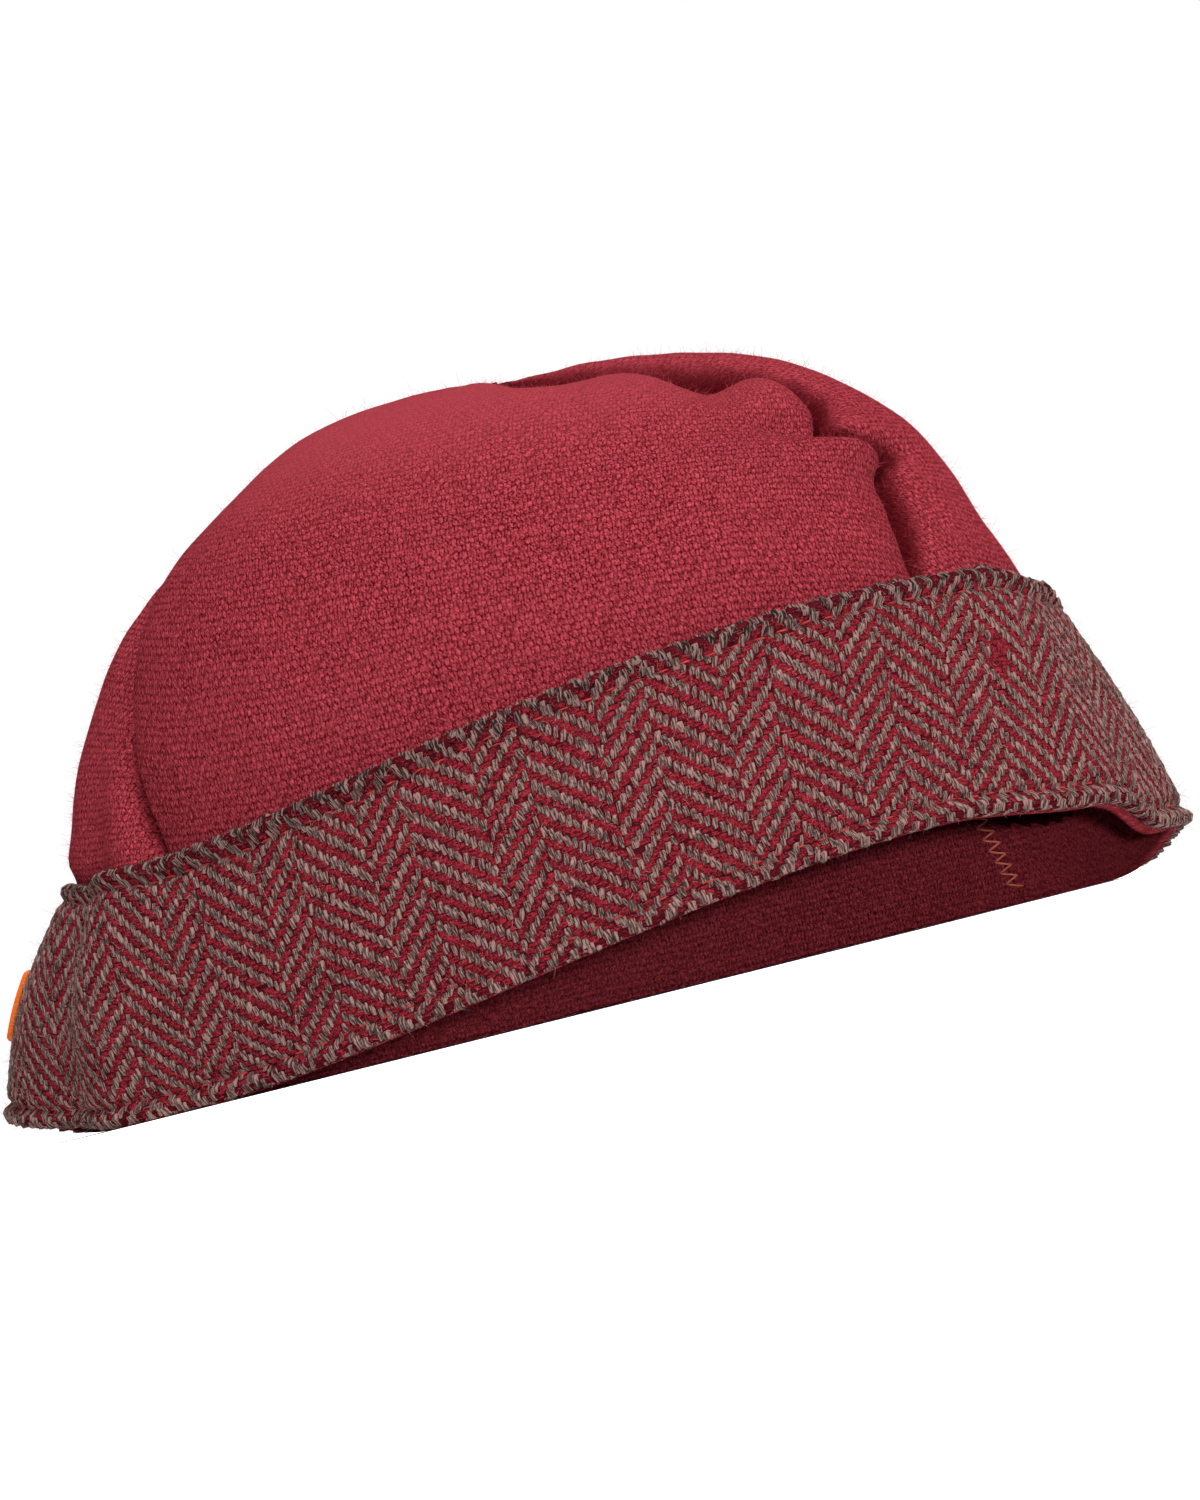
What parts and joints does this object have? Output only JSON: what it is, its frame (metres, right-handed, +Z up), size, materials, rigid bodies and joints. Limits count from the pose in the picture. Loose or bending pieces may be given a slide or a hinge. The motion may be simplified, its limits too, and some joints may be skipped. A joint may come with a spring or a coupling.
{
  "type": "soft wool cap",
  "caption": "Soft brimless cap of coarse red wool gores with a wide herringbone twill band sewn round its wavy rim.",
  "frame": {"origin": "on the surface that the rim rests on, under the middle of the cap's bounding box", "axes": "+X to the cap's right side as the picture shows it, +Y to its back, +Z up to the crown's top"},
  "size_m": [0.2071, 0.1769, 0.109],
  "materials": {
    "crown_wool": "coarse plain weave, matte, slightly fuzzy",
    "band_twill": "red and grey herringbone twill, matte",
    "label_cloth": "fine woven tape, matte"
  },
  "bodies": {
    "root": {"gore_front": "crown_wool", "gore_right": "crown_wool", "gore_back": "crown_wool", "gore_left": "crown_wool", "band": "band_twill", "side_label": "label_cloth"}
  },
  "joints": []
}
